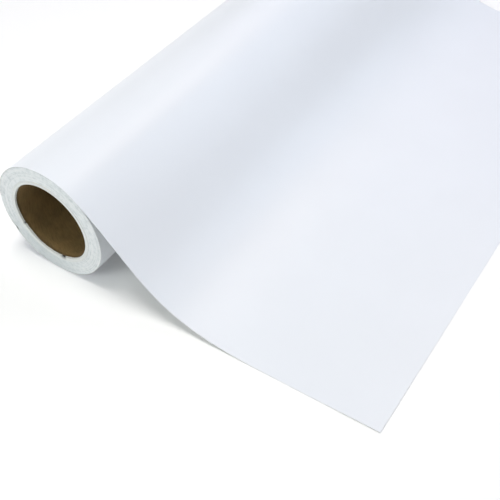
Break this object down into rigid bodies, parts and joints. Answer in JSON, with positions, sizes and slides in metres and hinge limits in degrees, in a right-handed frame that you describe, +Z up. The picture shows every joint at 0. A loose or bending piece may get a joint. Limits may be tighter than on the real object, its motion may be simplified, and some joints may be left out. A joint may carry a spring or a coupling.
{
  "type": "roll of sign vinyl",
  "caption": "Roll of white self-adhesive sign vinyl on a paper core, film side out, with its free end drawn off over the top and laid flat; the end of the film peels from its liner.",
  "frame": {"origin": "under the middle of the whole object's bounding box, on the surface that the roll and its sheet lie on", "axes": "+X is the way the sheet is drawn off the roll, +Y runs along the roll's axis to its far end, +Z is up"},
  "size_m": [0.3718, 0.61, 0.1115],
  "materials": {
    "vinyl_film": "white gloss calendered film",
    "adhesive": "clear pressure-sensitive adhesive over the film's white back",
    "release_liner": "silicone-coated smooth paper",
    "wound_web": "cut edges of tightly wound film and liner",
    "kraft_ply": "spiral-wound brown kraft paper",
    "core_board": "cut end of grey-white paperboard plies",
    "outer_ply": "pale smooth outer paper ply",
    "start_tape": "paper double-sided tape"
  },
  "bodies": {
    "web": {"outer_turn_liner": "release_liner", "outer_turn_adhesive": "adhesive", "outer_turn_film": "vinyl_film", "free_run_liner": "release_liner", "free_run_adhesive": "adhesive", "free_run_film": "vinyl_film", "feed_liner": "release_liner", "feed_adhesive": "adhesive", "feed_film": "vinyl_film"},
    "roll": {"core_inner_ply": "kraft_ply", "core_board": "core_board", "core_outer_ply": "outer_ply", "start_tape": "start_tape", "wound_turns": "wound_web"},
    "leader": {"leader_liner": "release_liner", "leader_adhesive": "adhesive", "leader_film": "vinyl_film"},
    "peel_strip": {"peel_film": "vinyl_film", "peel_adhesive": "adhesive"}
  },
  "joints": [
    {"name": "roll_spin", "type": "hinge", "parent": "web", "child": "roll", "pos_m": [-0.13012, 0, 0.05575], "axis": [0, 1, 0], "range_deg": [-28, 360]},
    {"name": "web_feed", "type": "slide", "parent": "web", "child": "leader", "axis": [1, 0, 0], "range_m": [-0.0273, 0.3498], "deforming": ["feed_liner", "feed_adhesive", "feed_film"]},
    {"name": "film_peel", "type": "hinge", "parent": "leader", "child": "peel_strip", "pos_m": [0.13587, 0, 0.00025], "axis": [0, -1, 0], "range_deg": [0, 150]}
  ],
  "couplings": [
    {"joint": "web_feed", "follows": "roll_spin", "m_per_rad": 0.055625}
  ]
}
